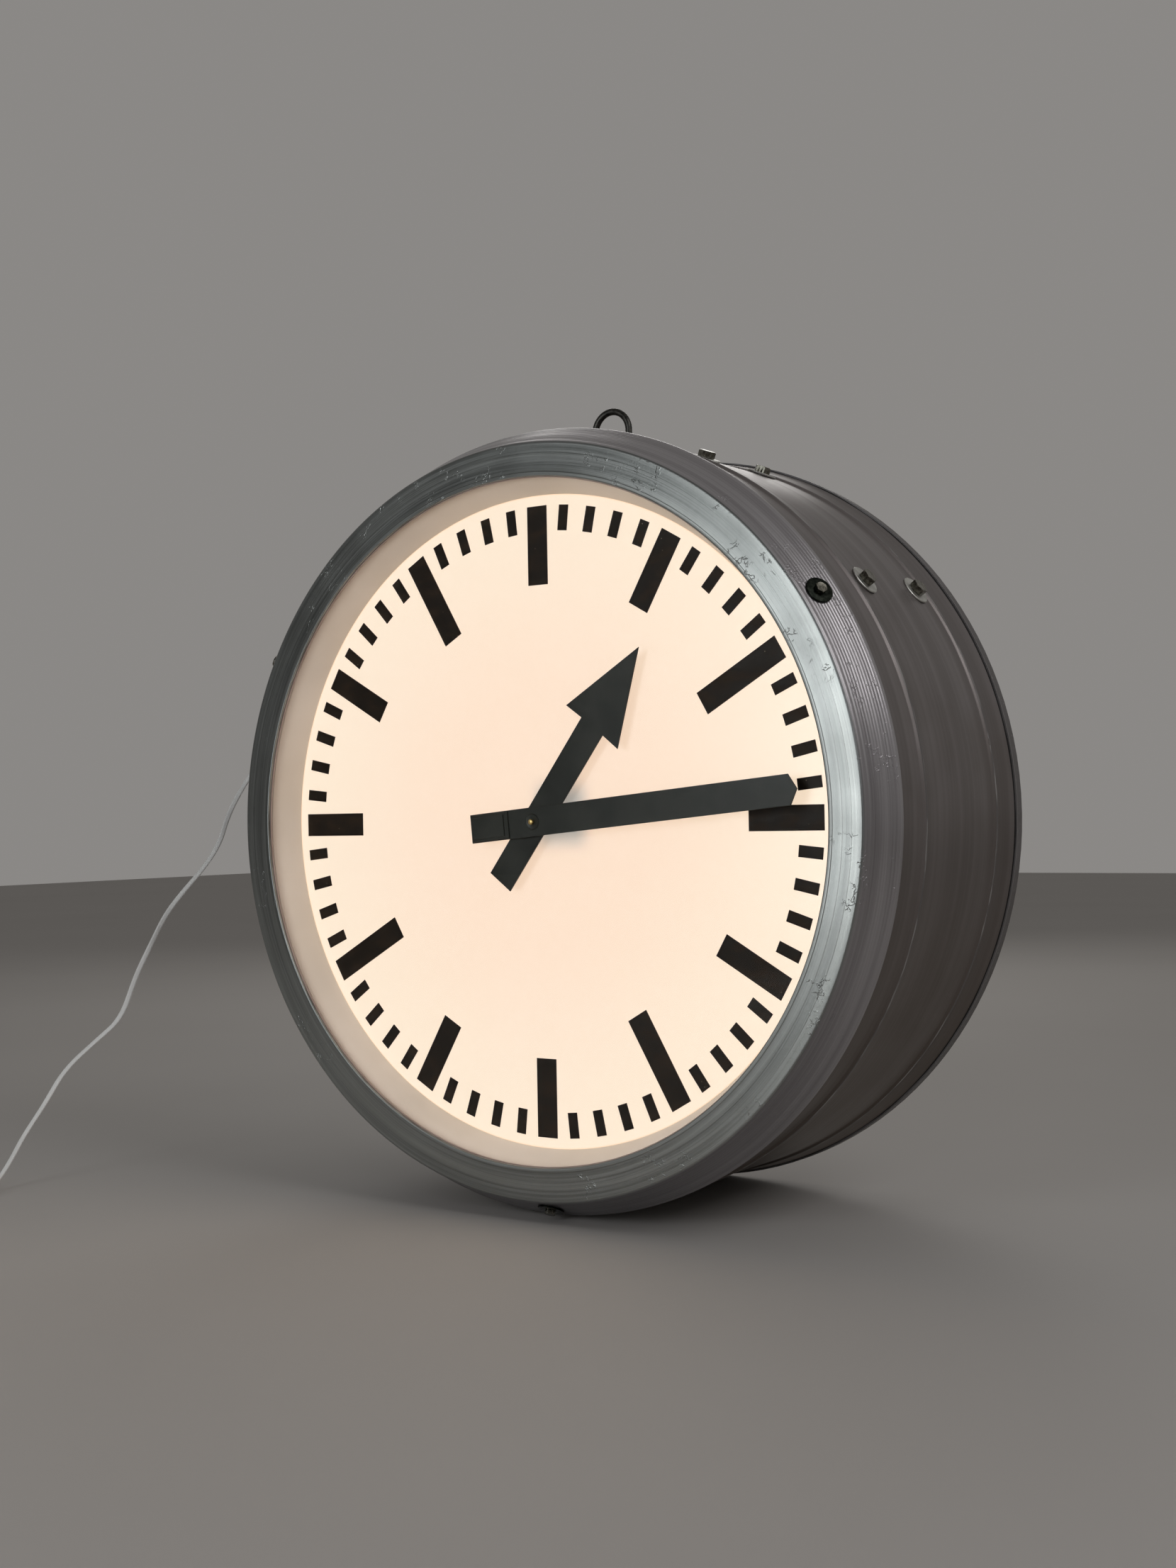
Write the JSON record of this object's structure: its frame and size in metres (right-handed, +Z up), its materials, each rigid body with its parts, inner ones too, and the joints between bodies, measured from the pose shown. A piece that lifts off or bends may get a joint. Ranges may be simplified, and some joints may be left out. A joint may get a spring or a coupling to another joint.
{
  "type": "backlit drum wall clock",
  "caption": "Large round wall clock: deep steel drum, flared bezel, lit opal dial with bar marks, two black hands, a hanging eye and a mains lead.",
  "frame": {"origin": "centre of the back face, in the plane of the wall", "axes": "+Z up, +Y into the wall, the dial faces -Y, +X to the right seen from the front"},
  "size_m": [1.0145, 0.5308, 0.7364],
  "materials": {
    "drum_paint": "satin dark grey paint with streaks",
    "bezel_paint": "satin blue-grey metallic paint, brushed on",
    "band_paint": "satin grey paint",
    "glass": "clear flat pane",
    "seal_white": "matt off-white rubber",
    "seal_black": "matt black rubber",
    "reflector_white": "matt warm white paint",
    "opal": "opal acrylic, lit from behind",
    "mark_black": "satin black film",
    "hand_black": "satin black paint",
    "zinc": "bright zinc plate",
    "dark_zinc": "blackened steel",
    "brass": "turned brass",
    "steel": "bright steel",
    "case_plastic": "moulded black plastic",
    "copper": "enamelled copper wire",
    "board_green": "solder-resist green",
    "battery_wrap": "plain printed sleeve",
    "tape_white": "white flexible tape and housings",
    "lead_white": "soft white PVC"
  },
  "bodies": {
    "clock_case": {"drum_shell": "drum_paint", "bezel_ring": "bezel_paint", "band_strap": "band_paint", "bezel_lugs": "band_paint", "front_glass": "glass", "glass_seal": "seal_white", "reflector_ring": "reflector_white", "dial_plate": "opal", "hour_marks": "mark_black", "minute_marks": "mark_black", "movement_case": "case_plastic", "movement_cover": "case_plastic", "movement_screws": "zinc", "movement_battery": "battery_wrap", "motor_stator": "steel", "motor_coil": "copper", "circuit_board": "board_green", "dial_washer": "steel", "dial_nut": "brass", "drum_bolts": "zinc", "drum_washers": "zinc", "drum_nuts": "zinc", "band_bolts": "dark_zinc", "band_washers": "dark_zinc", "band_nuts": "zinc", "hanging_eye": "dark_zinc", "eye_nuts": "zinc", "hanger_saddle": "zinc", "rear_cover": "drum_paint", "cover_screws": "zinc", "cover_spacers": "zinc", "cover_nuts": "zinc", "rear_seal": "seal_black", "bezel_seal": "seal_black", "wall_rails": "zinc", "led_tape": "tape_white", "led_chips": "tape_white", "led_driver": "tape_white", "driver_clip": "steel", "strain_relief": "lead_white", "supply_lead": "lead_white", "inner_lead": "lead_white", "lead_coil": "lead_white", "coil_tie": "lead_white", "lead_tail": "lead_white", "mains_plug": "lead_white", "plug_pins": "brass"},
    "minute_arbor": {"minute_hand": "hand_black", "minute_counterweight": "hand_black", "minute_hub": "hand_black", "hand_nut": "brass", "centre_arbor": "steel", "cannon_pinion": "brass", "centre_wheel": "brass", "setting_knob": "case_plastic"},
    "hour_arbor": {"hour_hand": "hand_black", "hour_collet": "hand_black", "hour_wheel": "brass"},
    "motion_wheel": {"minute_wheel": "brass"},
    "rotor": {"motor_rotor": "brass"}
  },
  "joints": [
    {"name": "minute_hand_turn", "type": "hinge", "parent": "clock_case", "child": "minute_arbor", "pos_m": [0, -0.244, 0], "axis": [0, 1, 0], "continuous": true},
    {"name": "hour_hand_turn", "type": "hinge", "parent": "clock_case", "child": "hour_arbor", "pos_m": [0, -0.244, 0], "axis": [0, 1, 0], "continuous": true},
    {"name": "motion_wheel_turn", "type": "hinge", "parent": "clock_case", "child": "motion_wheel", "pos_m": [-0.01061, -0.235, 0.01061], "axis": [0, 1, 0], "continuous": true},
    {"name": "rotor_turn", "type": "hinge", "parent": "clock_case", "child": "rotor", "pos_m": [0.0099, -0.23, 0.0099], "axis": [0, 1, 0], "continuous": true}
  ],
  "couplings": [
    {"joint": "hour_hand_turn", "follows": "minute_hand_turn", "ratio": 0.083333},
    {"joint": "motion_wheel_turn", "follows": "minute_hand_turn", "ratio": -0.33333},
    {"joint": "rotor_turn", "follows": "minute_hand_turn", "ratio": -6}
  ]
}
